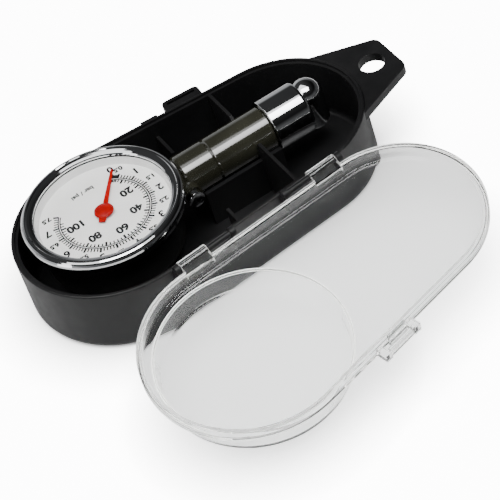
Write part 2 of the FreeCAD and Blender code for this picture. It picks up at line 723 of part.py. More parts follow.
def stem_body():
    """The turned stem: neck, barrel with one groove, spigot for the swivel, and the air passage."""
    x0, x1 = STEM_START, COLLAR_START - 0.15
    profile = [
        (NECK_END, NECK_R), (x0, NECK_R), (x0, STEM_R - 0.5), (x0 + 0.5, STEM_R),
        (GROOVE_X - 0.5, STEM_R), (GROOVE_X, STEM_R - 0.5), (GROOVE_X + 0.5, STEM_R),
        (x1 - 0.4, STEM_R), (x1, STEM_R - 0.4), (x1, SPIGOT_R), (SPIGOT_END, SPIGOT_R),
    ]
    points = [vec(x, 0, r) for x, r in profile]
    points = [vec(NECK_END, 0, 0)] + points + [vec(SPIGOT_END, 0, 0)]
    body = Part.Face(Part.makePolygon(points + [points[0]])).revolve(vec(0, 0, 0), X, 360)
    body.translate(vec(0, GAUGE_Y, STEM_Z))
    housing = across(BUTTON_HOUSING_R, HOUSING_FACE_Y, GAUGE_Y)
    body = join(body, housing)
    body = body.cut(along_x(BORE_R, NECK_END - 1, SPIGOT_END + 1))
    body = body.cut(along_x(VALVE_ROOM_R, VALVE_ROOM_X, SPIGOT_END + 1))
    body = body.cut(across(BUTTON_R + RUN, HOUSING_FACE_Y - 1, POCKET_Y))
    body = body.cut(across(PLUNGER_R + RUN, GAUGE_Y - 3, GAUGE_Y))
    for x in (ORING_X, CLIP_X):
        body = body.cut(tube(SPIGOT_R + 1, SPIGOT_R - 0.9, 1.4, vec(x, GAUGE_Y, STEM_Z), X))
    return body


def release_button():
    """The bleed button: a rim round a deep dish, on a plunger whose foot closes the side port."""
    head = across(BUTTON_R, BUTTON_FACE_Y, GAUGE_Y - 5.2)
    head = head.makeFillet(0.4, [e for e in head.Edges if abs(e.BoundBox.YMax - BUTTON_FACE_Y) < 1e-4])
    dish = across(BUTTON_R - 0.75, BUTTON_FACE_Y - 1, BUTTON_FACE_Y + 0.7)
    dish = join(dish, Part.makeSphere(BUTTON_DISH_R, vec(BUTTON_X, BUTTON_FACE_Y - 3.1, STEM_Z)))
    plunger = across(PLUNGER_R, GAUGE_Y - 5.3, POCKET_Y - 0.05)
    return join(head.cut(dish), plunger)


COIL_R = 1.75           # mean radius of both coil springs
COIL_WIRE = 0.36


def coil(pitch, turns, start, axis):
    """A square-wire compression spring of whole turns, from start along axis."""
    path = Part.makeHelix(pitch, pitch * turns, COIL_R)
    half = COIL_WIRE / 2
    square = ((-half, -half), (half, -half), (half, half), (-half, half))
    corners = [vec(COIL_R + dr, 0, dz) for dr, dz in square]
    section = Part.makePolygon(corners + [corners[0]])
    shape = Part.Wire(path.Edges).makePipeShell([section], True, True)
    shape.Placement = FreeCAD.Placement(start, FreeCAD.Rotation(Z, axis))
    return shape


def release_spring():
    """Under the button's head, on the floor of its pocket."""
    return coil(0.7, 3, vec(BUTTON_X, POCKET_Y - 0.22, STEM_Z), Y * -1)


def check_valve_spring():
    """Behind the poppet, on the floor of the valve's room."""
    return coil(1.0, 3, vec(VALVE_ROOM_X + 0.25, GAUGE_Y, STEM_Z), X)


def check_valve_poppet():
    """A flange that closes on the seat, with a nose through it and a guide pin inside the spring."""
    x = SEAT_X - 1.22
    flange = along_x(2.4, x, SEAT_X - 0.02)
    pin = along_x(0.8, x - 2.2, x)
    nose = along_x(0.7, SEAT_X - 0.02, SEAT_X + 1.2)
    return join(flange, pin, nose)


def check_valve_seat():
    """The slotted brass plug in the end of the stem that the poppet closes against."""
    plug = tube(VALVE_ROOM_R, 1.0, 2.2, vec(SEAT_X, GAUGE_Y, STEM_Z), X)
    return plug.cut(box(SEAT_X + 1.6, SEAT_X + 3, GAUGE_Y - 3, GAUGE_Y + 3, STEM_Z - 0.3, STEM_Z + 0.3))


def swivel_o_ring():
    ring = Part.makeTorus(SPIGOT_R - 0.45, 0.43, vec(ORING_X + 0.7, GAUGE_Y, STEM_Z), X)
    return ring


def swivel_clip():
    """The split ring that holds the collar on the spigot."""
    ring = tube(SPIGOT_R + 0.9, SPIGOT_R - 0.88, 0.7, vec(CLIP_X + 0.35, GAUGE_Y, STEM_Z), X)
    return ring.cut(box(CLIP_X, CLIP_X + 2, GAUGE_Y - 1.2, GAUGE_Y + 1.2, STEM_Z, STEM_Z + 8))


# ---- swivelling chuck ----
MOUTH_LOW = STEM_Z - 7.2
MOUTH_BORE = 4.6
SEAL_T = 1.6
MOUTH_END = MOUTH_LOW + MOUTH_BORE + SEAL_T
PIN_HOLE_R = 1.4
SEAL_R = 4.4
DOME_Z = STEM_Z + 3.1
CHUCK_NECK_R = 3.6


def swivel_collar():
    """The chrome sleeve on the spigot, rounded at its outer end, with a small lip at the stem end."""
    x0, x1, r = COLLAR_START, COLLAR_END, COLLAR_R
    sleeve = along_x(r, x0, x1)
    outer_edge = [e for e in sleeve.Edges if e.BoundBox.XMin > x1 - 0.01]
    sleeve = sleeve.makeFillet(1.3, outer_edge)
    lip_edge = [e for e in sleeve.Edges if e.BoundBox.XMax < x0 + 0.01]
    sleeve = sleeve.makeFillet(0.3, lip_edge)
    sleeve = sleeve.cut(along_x(SPIGOT_R + RUN, x0 - 1, CLIP_X + 0.1))
    sleeve = sleeve.cut(along_x(SPIGOT_R + 1.1, CLIP_X + 0.1, SPIGOT_END + 0.4))
    sleeve = sleeve.cut(along_x(CHUCK_NECK_R, x0, x1 + 1))
    way_in = cyl(CHUCK_R, COLLAR_R, vec(CHUCK_X, GAUGE_Y, STEM_Z - COLLAR_R - 1))
    return sleeve.cut(chuck_blank()).cut(way_in)


def chuck_blank():
    """The outside of the chuck: a barrel across the stem's axis with a ball-shaped back."""
    barrel = cyl(CHUCK_R, DOME_Z - MOUTH_LOW, vec(CHUCK_X, GAUGE_Y, MOUTH_LOW))
    barrel = barrel.makeFillet(0.8, edges_at(barrel, MOUTH_LOW))
    return join(barrel, Part.makeSphere(CHUCK_R, vec(CHUCK_X, GAUGE_Y, DOME_Z)))


def chuck_head():
    """The ball-backed chuck with its open mouth below the stem's axis and a neck into the collar."""
    body = join(chuck_blank(), along_x(CHUCK_NECK_R, SPIGOT_END + 0.5, CHUCK_X))
    body = body.cut(cyl(MOUTH_R, MOUTH_BORE + 1, vec(CHUCK_X, GAUGE_Y, MOUTH_LOW - 1)))
    body = body.cut(cyl(SEAL_R, SEAL_T, vec(CHUCK_X, GAUGE_Y, MOUTH_LOW + MOUTH_BORE)))
    body = body.cut(cyl(PIN_HOLE_R, 3.2, vec(CHUCK_X, GAUGE_Y, MOUTH_END)))
    return body.cut(along_x(1.2, SPIGOT_END, CHUCK_X))


def chuck_seal():
    """The rubber washer held in a groove at the bottom of the mouth."""
    return tube(SEAL_R, 1.7, SEAL_T, vec(CHUCK_X, GAUGE_Y, MOUTH_END - SEAL_T))


def depressor_pin():
    """The fixed pin that opens the tyre valve, on a slotted foot above the seal."""
    foot_low = MOUTH_END + 0.1
    foot_t = 0.8
    foot = tube(PIN_HOLE_R, 0.9, foot_t, vec(CHUCK_X, GAUGE_Y, foot_low))
    web = box(CHUCK_X - 1.1, CHUCK_X + 1.1, GAUGE_Y - 0.3, GAUGE_Y + 0.3, foot_low, foot_low + foot_t)
    tip = MOUTH_END - SEAL_T + 0.1
    pin = cyl(0.6, foot_low + foot_t - tip, vec(CHUCK_X, GAUGE_Y, tip))
    return join(foot, web, pin)


NODES = {
    "case_tub": case_tub,
    "case_lid": case_lid,
    "gauge_shell": gauge_shell,
    "bezel_ring": bezel_ring,
    "lens": lens,
    "lens_gasket": lens_gasket,
    "dial_surround": dial_surround,
    "dial_plate": dial_plate,
    "pointer_needle": pointer_needle,
    "pointer_hub": pointer_hub,
    "pointer_arbor": pointer_arbor,
    "sector_gear": sector_gear,
    "tip_link": tip_link,
    "movement_lower_plate": movement_lower_plate,
    "movement_upper_plate": movement_upper_plate,
    "movement_pillars": movement_pillars,
    "movement_screws": movement_screws,
    "hairspring": hairspring,
    "bourdon_tube": bourdon_tube,
    "tube_tip": tube_tip,
    "bourdon_socket": bourdon_socket,
    "stem_body": stem_body,
    "release_button": release_button,
    "release_spring": release_spring,
    "check_valve_seat": check_valve_seat,
    "check_valve_poppet": check_valve_poppet,
    "check_valve_spring": check_valve_spring,
    "swivel_o_ring": swivel_o_ring,
    "swivel_clip": swivel_clip,
    "swivel_collar": swivel_collar,
    "chuck_head": chuck_head,
    "chuck_seal": chuck_seal,
    "depressor_pin": depressor_pin,
}


def main():
    os.makedirs("parts", exist_ok=True)
    for name, make in NODES.items():
        shape = make()
        shape.exportStep("parts/" + name + ".step")


main()
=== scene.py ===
import math

import bpy
import bmesh
from mathutils import Matrix, Vector


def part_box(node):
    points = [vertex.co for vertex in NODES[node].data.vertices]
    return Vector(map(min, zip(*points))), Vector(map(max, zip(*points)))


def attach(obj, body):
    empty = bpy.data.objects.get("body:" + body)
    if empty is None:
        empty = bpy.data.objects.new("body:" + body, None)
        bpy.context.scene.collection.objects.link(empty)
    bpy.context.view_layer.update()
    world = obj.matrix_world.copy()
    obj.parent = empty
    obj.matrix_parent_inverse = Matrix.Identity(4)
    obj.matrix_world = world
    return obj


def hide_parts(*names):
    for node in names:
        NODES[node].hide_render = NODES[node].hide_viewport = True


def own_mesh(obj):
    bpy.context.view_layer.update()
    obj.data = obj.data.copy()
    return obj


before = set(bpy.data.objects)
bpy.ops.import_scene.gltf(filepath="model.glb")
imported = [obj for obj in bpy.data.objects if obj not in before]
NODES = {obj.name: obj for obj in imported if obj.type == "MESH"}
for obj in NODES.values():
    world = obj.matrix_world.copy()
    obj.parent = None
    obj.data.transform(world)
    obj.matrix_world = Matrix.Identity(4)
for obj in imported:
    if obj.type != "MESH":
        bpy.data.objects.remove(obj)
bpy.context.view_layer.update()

# Looks for the dial tyre-pressure gauge in its case. Metres; the CAD nodes stay as they are.
MM = 0.001

# ---- the dial's layout, in millimetres about the dial axis ----
DIAL_X, DIAL_Y = -0.7, 3.9
DIAL_TOP = 21.3
ZERO_DEG = 53.0       # pointer at rest
FIRST_BAR = 0.5       # the scale is squeezed up to here
FIRST_DEG = 45.0
FULL_DEG = -217.0     # the end of the scale
PSI_PER_BAR = 14.5038
BAR_MAX = 7.5
PSI_MAX = 105
OUTER_RING_R = 14.2   # the bar scale stands outside this ring
INNER_RING_R = 13.65  # the psi scale hangs inside this one
RING_W = 0.34
RING_STEPS = 180
TICK_W = {"major": 0.66, "minor": 0.42}
BAR_TICK = {"major": 1.75, "minor": 1.35}
PSI_TICK = {"major": 1.6, "minor": 1.1}
TICKS_PER_BAR = 10
BAR_MAJOR = 5         # every fifth tick is a long one
PSI_STEP = 2
PSI_MAJOR = 10
PSI_NUMERALS = range(20, 101, 20)
BAR_TEXT = {"radius": 17.9, "turn": 3.0, "whole": 3.7, "half": 2.3, "weight": 0.13}
PSI_TEXT = {"radius": 9.6, "turn": 6.0, "size": 3.9, "weight": 0.18}
UNITS_TEXT = {"x": -1.0, "y": 12.6, "size": 2.3, "weight": 0.08}
CURVE_STEPS = 4       # how finely a numeral's curves are cut
PRINT_T = 0.02


# ---- node helpers ----
NOISE_ROUGHNESS = 0.5
TONE_SPAN = (0.35, 0.65)    # the part of a noise's range over which a colour changes
COAT_ROUGHNESS = 0.08
SMEAR_SCALE = 4.3           # uneven roughness is this much finer than uneven tone
GRAIN_STRENGTH = 0.6
EVEN = (1, 1, 1)


def new_material(name):
    mat = bpy.data.materials.new(name)
    mat.use_nodes = True
    tree = mat.node_tree
    tree.nodes.clear()
    out = tree.nodes.new("ShaderNodeOutputMaterial")
    return mat, tree, out


def link(tree, a, b):
    tree.links.new(a, b)


def noise(tree, scale, detail=4.0, stretch=(1, 1, 1)):
    """Noise in object space. scale is in features per metre."""
    coord = tree.nodes.new("ShaderNodeTexCoord")
    mapping = tree.nodes.new("ShaderNodeMapping")
    mapping.inputs["Scale"].default_value = stretch
    tex = tree.nodes.new("ShaderNodeTexNoise")
    tex.inputs["Scale"].default_value = scale
    tex.inputs["Detail"].default_value = detail
    tex.inputs["Roughness"].default_value = NOISE_ROUGHNESS
    link(tree, coord.outputs["Object"], mapping.inputs["Vector"])
    link(tree, mapping.outputs["Vector"], tex.inputs["Vector"])
    return tex.outputs["Fac"]


def ranged(tree, value, low, high, from_low=0.3, from_high=0.7):
    node = tree.nodes.new("ShaderNodeMapRange")
    node.inputs["From Min"].default_value = from_low
    node.inputs["From Max"].default_value = from_high
    node.inputs["To Min"].default_value = low
    node.inputs["To Max"].default_value = high
    link(tree, value, node.inputs["Value"])
    return node.outputs["Result"]


def ramp(tree, value, low_color, high_color):
    node = tree.nodes.new("ShaderNodeValToRGB")
    for element, position, color in zip(node.color_ramp.elements, TONE_SPAN, (low_color, high_color)):
        element.position = position
        element.color = (*color, 1)
    link(tree, value, node.inputs["Fac"])
    return node.outputs["Color"]


def bump(tree, value, strength, distance):
    node = tree.nodes.new("ShaderNodeBump")
    node.inputs["Strength"].default_value = strength
    node.inputs["Distance"].default_value = distance
    link(tree, value, node.inputs["Height"])
    return node.outputs["Normal"]


def arithmetic(tree, operation, a, b):
    node = tree.nodes.new("ShaderNodeMath")
    node.operation = operation
    for value, socket in ((a, node.inputs[0]), (b, node.inputs[1])):
        if isinstance(value, float):
            socket.default_value = value
        else:
            link(tree, value, socket)
    return node.outputs["Value"]


def times(tree, a, b):
    return arithmetic(tree, "MULTIPLY", a, b)


def plus(tree, a, b):
    return arithmetic(tree, "ADD", a, b)


def seen_through(tree):
    """1 for a view ray that has only passed through clear solids, else 0."""
    path = tree.nodes.new("ShaderNodeLightPath")
    bounces = plus(tree, path.outputs["Diffuse Depth"], path.outputs["Glossy Depth"])
    direct = arithmetic(tree, "LESS_THAN", bounces, 0.5)
    return times(tree, path.outputs["Is Transmission Ray"], direct)


def surface(name, low_color, high_color, rough, tone_scale, grain, metallic=0.0, coat=0.0, specular=0.5):
    """A surface with blotchy tone and uneven roughness.

    grain is (features per metre, depth in m, stretch).
    """
    mat, tree, out = new_material(name)
    shader = tree.nodes.new("ShaderNodeBsdfPrincipled")
    tone = noise(tree, tone_scale)
    link(tree, ramp(tree, tone, low_color, high_color), shader.inputs["Base Color"])
    smear = noise(tree, tone_scale * SMEAR_SCALE, detail=6.0)
    link(tree, ranged(tree, smear, rough[0], rough[1]), shader.inputs["Roughness"])
    shader.inputs["Metallic"].default_value = metallic
    shader.inputs["Specular IOR Level"].default_value = specular
    shader.inputs["Coat Weight"].default_value = coat
    shader.inputs["Coat Roughness"].default_value = COAT_ROUGHNESS
    per_metre, depth, stretch = grain
    fine = noise(tree, per_metre, detail=3.0, stretch=stretch)
    link(tree, bump(tree, fine, GRAIN_STRENGTH, depth), shader.inputs["Normal"])
    link(tree, shader.outputs["BSDF"], out.inputs["Surface"])
    return mat


def black_plastic():
    return surface(
        "black_plastic", (0.007, 0.007, 0.0075), (0.012, 0.012, 0.0125), (0.34, 0.46),
        tone_scale=45, grain=(3200, 0.000010, EVEN), specular=0.32,
    )


def chrome():
    return surface(
        "chrome", (0.80, 0.81, 0.82), (0.90, 0.90, 0.91), (0.03, 0.08),
        metallic=1.0, tone_scale=80, grain=(420, 0.000003, EVEN),
    )


def stem_lacquer():
    return surface(
        "stem_lacquer", (0.024, 0.024, 0.016), (0.038, 0.038, 0.026), (0.10, 0.15),
        tone_scale=70, grain=(900, 0.0000015, (4.0, 0.3, 0.3)), coat=1.0, specular=1.0,
    )


def white_plastic():
    return surface(
        "white_plastic", (0.70, 0.70, 0.70), (0.78, 0.78, 0.77), (0.35, 0.5),
        tone_scale=120, grain=(2500, 0.00001, EVEN),
    )


def dial_enamel():
    return surface(
        "dial_enamel", (0.83, 0.83, 0.81), (0.88, 0.88, 0.87), (0.4, 0.5),
        tone_scale=150, grain=(3500, 0.000004, EVEN),
    )


def dial_ink():
    return surface(
        "dial_ink", (0.004, 0.004, 0.005), (0.010, 0.010, 0.011), (0.5, 0.65),
        tone_scale=900, grain=(9000, 0.000003, EVEN), specular=0.2,
    )


def red_gloss():
    return surface(
        "red_gloss", (0.30, 0.0006, 0.0006), (0.37, 0.001, 0.001), (0.16, 0.24),
        tone_scale=300, grain=(1500, 0.000004, EVEN), specular=0.16,
    )


def brass():
    return surface(
        "brass", (0.66, 0.47, 0.20), (0.76, 0.58, 0.28), (0.22, 0.36),
        metallic=1.0, tone_scale=200, grain=(4000, 0.000006, (1.0, 5.0, 1.0)),
    )


def bright_steel():
    return surface(
        "bright_steel", (0.50, 0.51, 0.53), (0.62, 0.63, 0.65), (0.2, 0.34),
        metallic=1.0, tone_scale=200, grain=(4000, 0.000006, (1.0, 1.0, 4.0)),
    )


def black_paint():
    return surface(
        "black_paint", (0.010, 0.010, 0.010), (0.016, 0.016, 0.016), (0.3, 0.45),
        tone_scale=120, grain=(2500, 0.000006, EVEN),
    )


def black_rubber():
    return surface(
        "black_rubber", (0.018, 0.018, 0.018), (0.030, 0.030, 0.031), (0.6, 0.8),
        tone_scale=250, grain=(5000, 0.00002, EVEN),
    )


# ---- clear plastics ----
PLASTIC_IOR = 1.49
HAZE_SCALE = 70
RIPPLE_STRENGTH = 0.5
# white of the painted edge sheen, which stands in for highlights on grazing edges
EDGE_SHEEN_COLOR = (0.95, 0.95, 0.93, 1)
LID_SHADE = (0.93, 0.935, 0.935)
LID_TINT = (0.97, 0.975, 0.97)
LID_ROUGH = (0.0, 0.03)
LID_RIPPLE = (60, 0.000003)


def pale_edge(tree):
    """Painted sheen: white scattered both ways, standing in for the highlights on edges seen at a grazing
    angle.
    """
    glow = tree.nodes.new("ShaderNodeAddShader")
    for i, kind in enumerate(("ShaderNodeBsdfTranslucent", "ShaderNodeBsdfDiffuse")):
        scatter = tree.nodes.new(kind)
        scatter.inputs["Color"].default_value = EDGE_SHEEN_COLOR
        link(tree, scatter.outputs["BSDF"], glow.inputs[i])
    return glow.outputs["Shader"]


def mixed(tree, amount, first, second):
    node = tree.nodes.new("ShaderNodeMixShader")
    link(tree, amount, node.inputs["Fac"])
    link(tree, first, node.inputs[1])
    link(tree, second, node.inputs[2])
    return node.outputs["Shader"]


def clear(name, tint, rough, ripple, shadow, edge_sheen, edge_span=(0.65, 0.97)):
    """Solid clear plastic. It refracts, casts a light shadow, and takes a painted white sheen at its edges.

    ripple is (features per metre, depth in m). edge_sheen is how strong the painted edge sheen is, over
    edge_span of facing.
    """
    mat, tree, out = new_material(name)
    shader = tree.nodes.new("ShaderNodeBsdfPrincipled")
    shader.inputs["Base Color"].default_value = (*tint, 1)
    shader.inputs["Transmission Weight"].default_value = 1.0
    shader.inputs["IOR"].default_value = PLASTIC_IOR
    haze = noise(tree, HAZE_SCALE, detail=5.0)
    link(tree, ranged(tree, haze, rough[0], rough[1]), shader.inputs["Roughness"])
    wave = noise(tree, ripple[0], detail=2.0)
    link(tree, bump(tree, wave, RIPPLE_STRENGTH, ripple[1]), shader.inputs["Normal"])
    edge = tree.nodes.new("ShaderNodeLayerWeight")
    edge.inputs["Blend"].default_value = 0.5
    start, stop = edge_span
    sheen_share = ranged(tree, edge.outputs["Facing"], 0.0, edge_sheen, from_low=start, from_high=stop)
    solid = mixed(tree, sheen_share, shader.outputs["BSDF"], pale_edge(tree))
    see_through = tree.nodes.new("ShaderNodeBsdfTransparent")
    see_through.inputs["Color"].default_value = (*shadow, 1)
    path = tree.nodes.new("ShaderNodeLightPath")
    whole = mixed(tree, path.outputs["Is Shadow Ray"], solid, see_through.outputs["BSDF"])
    link(tree, whole, out.inputs["Surface"])
    return mat


# the lid's grazing edges take a painted white sheen
def clear_lid():
    return clear("clear_lid", LID_TINT, LID_ROUGH, LID_RIPPLE, LID_SHADE, 0.8)


# the lip takes the painted sheen over most of its face: a painted highlight along the rim of the lid's bulge
def clear_lip():
    return clear("clear_lip", LID_TINT, LID_ROUGH, LID_RIPPLE, LID_SHADE, 0.9, edge_span=(0.0, 0.55))


def window():
    return clear("window", (0.99, 0.99, 0.99), (0.0, 0.01), (40, 0.000002), (0.96, 0.96, 0.96), 0.0)


# ---- which finish each CAD node takes ----
def dress_nodes():
    finishes = {
        black_plastic(): ["case_tub"],
        clear_lid(): ["case_lid"],
        window(): ["lens"],
        chrome(): ["bezel_ring", "release_button", "swivel_collar", "chuck_head"],
        stem_lacquer(): ["stem_body"],
        white_plastic(): ["dial_surround"],
        dial_enamel(): ["dial_plate"],
        red_gloss(): ["pointer_needle", "pointer_hub"],
        brass(): [
            "pointer_arbor", "sector_gear", "bourdon_tube", "tube_tip", "bourdon_socket",
            "movement_lower_plate", "movement_upper_plate", "movement_pillars",
            "check_valve_seat", "depressor_pin",
        ],
        bright_steel(): [
            "tip_link", "movement_screws", "hairspring", "swivel_clip",
            "release_spring", "check_valve_spring",
        ],
        black_paint(): ["gauge_shell"],
        black_rubber(): ["lens_gasket", "check_valve_poppet", "swivel_o_ring", "chuck_seal"],
    }
    for material, names in finishes.items():
        for name in names:
            slots = NODES[name].data.materials
            slots.clear()
            slots.append(material)


# ---- mesh helpers ----
def skin(bm, rows):
    """Joins rows of points into a closed tube with flat ends."""
    sides = len(rows[0])
    for one, two in zip(rows, rows[1:]):
        for i in range(sides):
            j = (i + 1) % sides
            bm.faces.new((one[i], two[i], two[j], one[j]))
    bm.faces.new(rows[0])
    bm.faces.new(list(reversed(rows[-1])))


def smooth(bm):
    for face in bm.faces:
        face.smooth = True


def finish_piece(name, bm, material, body):
    bmesh.ops.recalc_face_normals(bm, faces=bm.faces)
    mesh = bpy.data.meshes.new(name)
    bm.to_mesh(mesh)
    bm.free()
    mesh.materials.append(material)
    obj = bpy.data.objects.new(name, mesh)
    bpy.context.scene.collection.objects.link(obj)
    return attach(obj, body)


# ---- the dial's print ----
def dial_point(radius, degrees, lift=0.0):
    a = math.radians(degrees)
    return Vector((DIAL_X + radius * math.cos(a), DIAL_Y + radius * math.sin(a), DIAL_TOP + lift)) * MM


def scale_deg(bar):
    """Direction of a pressure on the dial: squeezed below the first mark, even above it."""
    if bar < FIRST_BAR:
        return ZERO_DEG + (FIRST_DEG - ZERO_DEG) * bar / FIRST_BAR
    return FIRST_DEG + (FULL_DEG - FIRST_DEG) * (bar - FIRST_BAR) / (BAR_MAX - FIRST_BAR)


def add_tick(bm, radius_in, radius_out, degrees, width):
    """A thin radial block."""
    a = math.radians(degrees)
    out = Vector((math.cos(a), math.sin(a), 0))
    side = Vector((-out.y, out.x, 0)) * (width / 2)
    base = Vector((DIAL_X, DIAL_Y, DIAL_TOP))
    ends = ((radius_in, 1), (radius_in, -1), (radius_out, -1), (radius_out, 1))
    low = [base + out * r + side * s for r, s in ends]
    verts = [bm.verts.new(p * MM) for p in low]
    verts += [bm.verts.new((p + Vector((0, 0, PRINT_T))) * MM) for p in low]
    faces = [(3, 2, 1, 0), (4, 5, 6, 7), (0, 1, 5, 4), (1, 2, 6, 5), (2, 3, 7, 6), (3, 0, 4, 7)]
    for face in faces:
        bm.faces.new([verts[i] for i in face])


def add_arc(bm, radius):
    """A thin printed arc along the whole scale."""
    inner = radius - RING_W / 2
    outer = radius + RING_W / 2
    section = ((inner, 0), (outer, 0), (outer, PRINT_T), (inner, PRINT_T))
    sweep = ZERO_DEG - FULL_DEG
    rows = []
    for k in range(RING_STEPS + 1):
        degrees = FULL_DEG + sweep * k / RING_STEPS
        rows.append([bm.verts.new(dial_point(r, degrees, lift)) for r, lift in section])
    skin(bm, rows)


def dial_scales(ink):
    bm = bmesh.new()
    for radius in (INNER_RING_R, OUTER_RING_R):
        add_arc(bm, radius)
    for tick in range(int(BAR_MAX * TICKS_PER_BAR) + 1):
        kind = "minor" if tick % BAR_MAJOR else "major"
        degrees = scale_deg(tick / TICKS_PER_BAR)
        add_tick(bm, OUTER_RING_R, OUTER_RING_R + BAR_TICK[kind], degrees, TICK_W[kind])
    for psi in range(0, PSI_MAX + 1, PSI_STEP):
        kind = "minor" if psi % PSI_MAJOR else "major"
        degrees = scale_deg(psi / PSI_PER_BAR)
        add_tick(bm, INNER_RING_R - PSI_TICK[kind], INNER_RING_R, degrees, TICK_W[kind])
    return finish_piece("dial_scales", bm, ink, "gauge")


def add_text(bm, text, size, centre, weight):
    """Adds one printed word, centred, reading upright with the stem to the reader's left."""
    curve = bpy.data.curves.new("glyphs", "FONT")
    curve.body = text
    curve.size = size * MM
    curve.extrude = PRINT_T * MM / 2
    curve.offset = weight * MM
    curve.align_x = "CENTER"
    curve.align_y = "CENTER"
    curve.resolution_u = CURVE_STEPS
    holder = bpy.data.objects.new("glyphs", curve)
    bpy.context.scene.collection.objects.link(holder)
    bpy.context.view_layer.update()
    flat = bpy.data.meshes.new_from_object(holder.evaluated_get(bpy.context.evaluated_depsgraph_get()))
    xs = [v.co.x for v in flat.vertices]
    ys = [v.co.y for v in flat.vertices]
    middle = Vector(((min(xs) + max(xs)) / 2, (min(ys) + max(ys)) / 2, 0))
    place = Matrix.Translation(centre + Vector((0, 0, PRINT_T * MM / 2))) @ Matrix.Rotation(math.pi, 4, "Z")
    flat.transform(place @ Matrix.Translation(-middle))
    bm.from_mesh(flat)
    bpy.data.objects.remove(holder)
    bpy.data.curves.remove(curve)
    bpy.data.meshes.remove(flat)


def dial_numerals(ink):
    bm = bmesh.new()
    for half in range(0, int(BAR_MAX * 2) + 1):
        bar = half / 2
        whole = half % 2 == 0
        text = str(half // 2) if whole else f"{bar:.1f}"
        size = BAR_TEXT["whole"] if whole else BAR_TEXT["half"]
        centre = dial_point(BAR_TEXT["radius"], scale_deg(bar) + BAR_TEXT["turn"])
        add_text(bm, text, size, centre, BAR_TEXT["weight"])
    for psi in PSI_NUMERALS:
        centre = dial_point(PSI_TEXT["radius"], scale_deg(psi / PSI_PER_BAR) + PSI_TEXT["turn"])
        add_text(bm, str(psi), PSI_TEXT["size"], centre, PSI_TEXT["weight"])
    units = Vector((DIAL_X + UNITS_TEXT["x"], DIAL_Y + UNITS_TEXT["y"], DIAL_TOP)) * MM
    add_text(bm, "bar / psi", UNITS_TEXT["size"], units, UNITS_TEXT["weight"])
    return finish_piece("dial_numerals", bm, ink, "gauge")


# ---- the rounded lip where the lid's flat meets its bulge, laid out closed and then swung open ----
HINGE_POINT = Vector((2.79, -33.484, 23.1)) * MM
HINGE_AXIS = Vector((0.996546, 0.083045, 0.0))
OPEN_DEG = 188.0
BULGE_X, BULGE_Y = 0.3, 1.4
LIP_Z = 26.35               # inner face of the closed lid's flat
LIP_R = 28.1
LIP_WIRE = 0.45
LARGE_END_R = 29.2          # inside of the lid's outline at its two ends
SMALL_END_R = 24.4
END_GAP = 57.8
OUTLINE_STEPS = 60          # circles that stand for the outline between its ends
LIP_GAP_DEG = 112.0         # where the bulge runs into the rim, so the arc starts and ends there
LIP_STEPS = 240
LIP_SIDES = 12


def inside_lid(x, y):
    """True where a point of the lid's flat is clear of its rim."""
    for k in range(OUTLINE_STEPS + 1):
        t = k / OUTLINE_STEPS
        reach = LARGE_END_R + (SMALL_END_R - LARGE_END_R) * t - LIP_WIRE
        if math.hypot(x - END_GAP * t, y) < reach:
            return True
    return False


def lip_point(angle, side):
    b = math.tau * side / LIP_SIDES
    r = LIP_R + LIP_WIRE * math.cos(b)
    x = BULGE_X + r * math.cos(angle)
    y = BULGE_Y + r * math.sin(angle)
    return Vector((x, y, LIP_Z + LIP_WIRE * math.sin(b))) * MM


def lid_lip(material):
    """The lip only runs where the bulge is clear of the lid's rim, so it is an arc and not a full ring."""
    rows = []
    bm = bmesh.new()
    swing = Matrix.Translation(HINGE_POINT) @ Matrix.Rotation(math.radians(OPEN_DEG), 4, HINGE_AXIS)
    swing = swing @ Matrix.Translation(-HINGE_POINT)
    for k in range(LIP_STEPS + 1):
        a = math.radians(LIP_GAP_DEG) + math.tau * k / LIP_STEPS
        if inside_lid(BULGE_X + LIP_R * math.cos(a), BULGE_Y + LIP_R * math.sin(a)):
            rows.append([bm.verts.new(swing @ lip_point(a, side)) for side in range(LIP_SIDES)])
    skin(bm, rows)
    smooth(bm)
    piece = finish_piece("lid_lip", bm, material, "lid")


# ---- coil springs ----
WIRE_R = 0.18 * MM
COIL_STEPS = 28
WIRE_SIDES = 10
COIL_TURNS = 3


def coil_spring(node, along, anchor_side, material):
    """A round-wire coil in the space of its CAD node, which it hides; anchor_side names its low (0) or high
    (1) end.

    along is 0, 1 or 2 for X, Y or Z.
    """
    low, high = (Vector(corner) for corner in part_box(node))
    middle = (low + high) / 2
    across, up = (i for i in range(3) if i != along)
    coil_r = (high[across] - low[across]) / 2 - WIRE_R
    bm = bmesh.new()
    rows = []
    count = COIL_STEPS * COIL_TURNS
    for k in range(count + 1):
        a = math.tau * COIL_TURNS * k / count
        height = low[along] + WIRE_R + (high[along] - low[along] - 2 * WIRE_R) * k / count
        row = []
        for side in range(WIRE_SIDES):
            b = math.tau * side / WIRE_SIDES
            r = coil_r + WIRE_R * math.cos(b)
            point = Vector((0, 0, 0))
            point[along] = height + WIRE_R * math.sin(b)
            point[across] = middle[across] + r * math.cos(a)
            point[up] = middle[up] + r * math.sin(a)
            row.append(bm.verts.new(point))
        rows.append(row)
    skin(bm, rows)
    smooth(bm)
    piece = finish_piece(node + "_coil", bm, material, "gauge")
    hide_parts(node)
    axis = Vector((0, 0, 0))
    axis[along] = 1
    anchor = middle.copy()
    anchor[along] = (low, high)[anchor_side][along]
    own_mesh(piece)


def springs(steel):
    coil_spring("release_spring", along=1, anchor_side=1, material=steel)
    coil_spring("check_valve_spring", along=0, anchor_side=0, material=steel)


